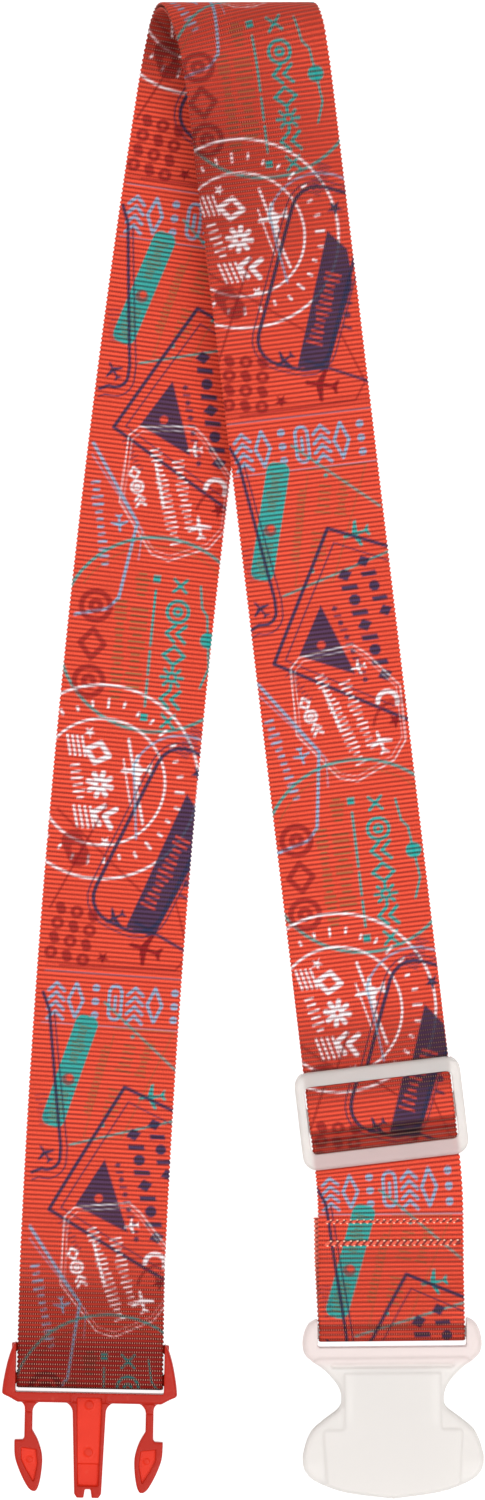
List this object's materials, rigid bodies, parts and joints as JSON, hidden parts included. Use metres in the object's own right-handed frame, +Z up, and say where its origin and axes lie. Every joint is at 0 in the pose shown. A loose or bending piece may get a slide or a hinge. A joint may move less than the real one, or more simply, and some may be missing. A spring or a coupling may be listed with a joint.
{
  "type": "luggage strap",
  "caption": "Printed webbing luggage strap folded flat, with a side-release buckle at its ends and a slide adjuster on one strand.",
  "frame": {"origin": "centre of the bounding box's underside, on the table", "axes": "+Y along the folded strap from the buckles to the fold, +Z up from the table, +X to the right seen from above"},
  "size_m": [0.1661, 0.5149, 0.0263],
  "materials": {
    "webbing": "woven polyester, heat-transfer printed",
    "thread": "polyester sewing thread",
    "red_plastic": "moulded acetal, fine texture",
    "frosted_plastic": "translucent frosted moulding"
  },
  "bodies": {
    "left_strand": {"webbing_left_front": "webbing", "webbing_left_back": "webbing", "webbing_fold_outer": "webbing", "webbing_fold_inner": "webbing"},
    "right_strand": {"webbing_right_front": "webbing", "webbing_right_back": "webbing", "webbing_end_hem": "webbing", "female_seam_upper": "thread", "female_seam_lower": "thread"},
    "slider": {"slider_frame": "frosted_plastic", "webbing_slider_loop": "webbing", "webbing_slider_arch": "webbing", "slider_seam_upper": "thread", "slider_seam_lower": "thread"},
    "female_buckle": {"female_body": "frosted_plastic", "webbing_female_loop": "webbing"},
    "male_buckle": {"male_frame": "red_plastic", "webbing_male_loop": "webbing"},
    "left_arm": {"male_arm_left": "red_plastic"},
    "right_arm": {"male_arm_right": "red_plastic"}
  },
  "joints": [
    {"name": "strap_fold", "type": "hinge", "parent": "left_strand", "child": "right_strand", "pos_m": [-0.0023, 0.25605, 0.01316], "axis": [-1, 0, 0], "range_deg": [0, 150], "deforming": ["webbing_fold_outer", "webbing_fold_inner"]},
    {"name": "slider_travel", "type": "slide", "parent": "right_strand", "child": "slider", "axis": [-0.1182, 0.9916, 0.052], "range_m": [0, 0.15], "deforming": ["webbing_right_back"]},
    {"name": "female_swing", "type": "hinge", "parent": "right_strand", "child": "female_buckle", "pos_m": [0.05111, -0.1857, 0.0045], "axis": [-0.9999, -0.01, 0], "range_deg": [-60, 90], "deforming": ["webbing_female_loop"]},
    {"name": "male_swing", "type": "hinge", "parent": "left_strand", "child": "male_buckle", "pos_m": [-0.05239, -0.1955, 0.00275], "axis": [-0.9998, 0.02, 0], "range_deg": [-60, 90], "deforming": ["webbing_male_loop"]},
    {"name": "left_arm_flex", "type": "hinge", "parent": "male_buckle", "child": "left_arm", "pos_m": [-0.07389, -0.22788, 0.00375], "axis": [0, 0, 1], "range_deg": [0, 8], "stiffness_Nm_per_rad": 4.5},
    {"name": "right_arm_flex", "type": "hinge", "parent": "male_buckle", "child": "right_arm", "pos_m": [-0.0322, -0.22872, 0.00375], "axis": [0, 0, -1], "range_deg": [0, 8], "stiffness_Nm_per_rad": 4.5}
  ]
}
